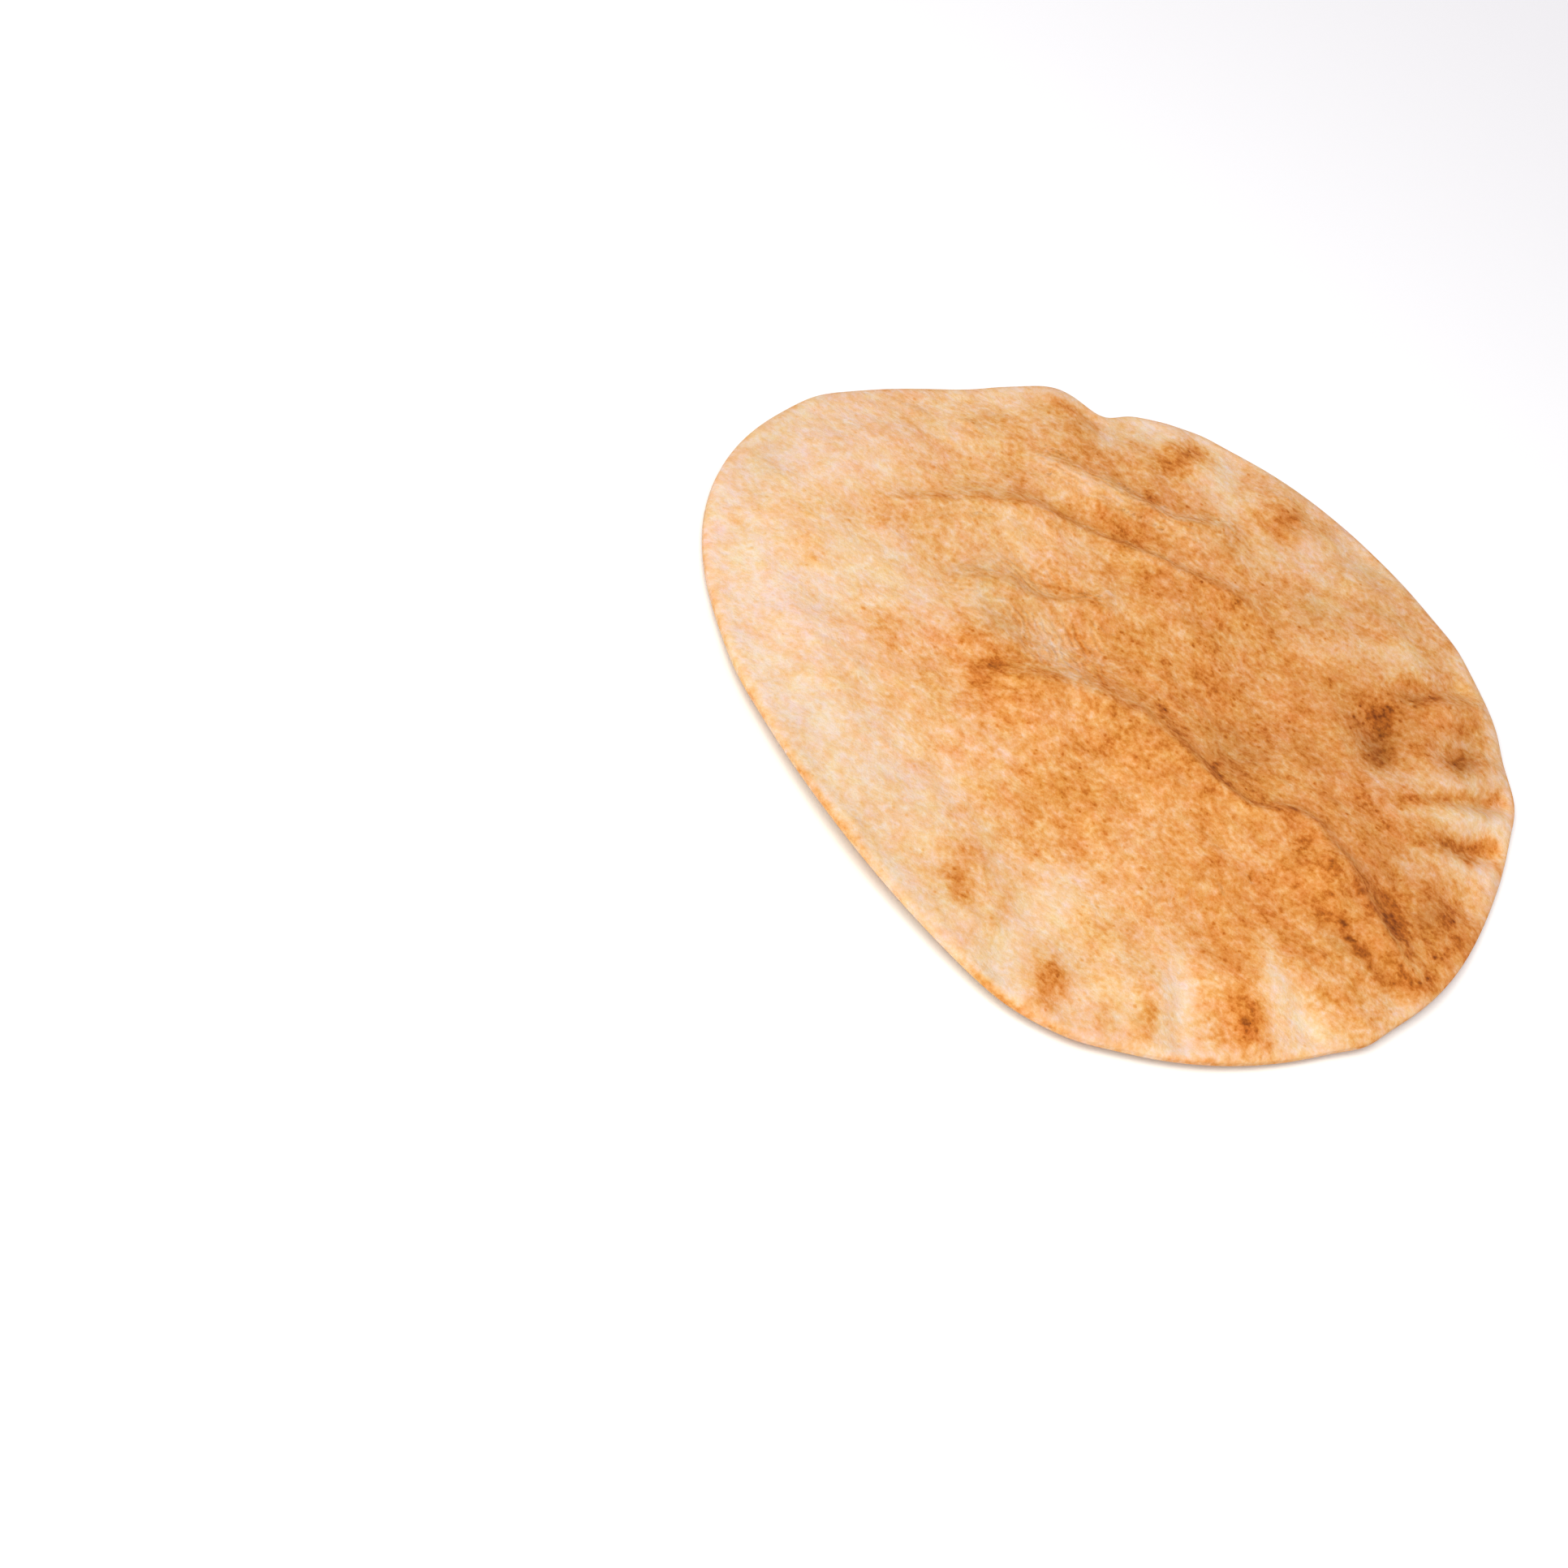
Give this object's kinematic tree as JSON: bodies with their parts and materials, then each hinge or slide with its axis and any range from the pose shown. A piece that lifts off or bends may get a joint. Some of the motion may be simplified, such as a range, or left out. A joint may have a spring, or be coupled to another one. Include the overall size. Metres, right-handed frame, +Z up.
{
  "type": "pita bread",
  "caption": "Thin round flatbread with a wavy rim, soft folds and pleats round its edge, lying flat to serve, stack or wrap.",
  "frame": {"origin": "centre of the bread's footprint, on the surface that it lies on", "axes": "+Z up out of the upper skin; +X points along the pleated side of the round, +Y away from the raised edge"},
  "size_m": [0.2414, 0.2476, 0.014],
  "materials": {
    "crust": "matt baked bread crust: pale floury margin, golden toasted middle with a fine grain, brown scorched spots"
  },
  "bodies": {
    "root": {"pita": "crust"}
  },
  "joints": []
}
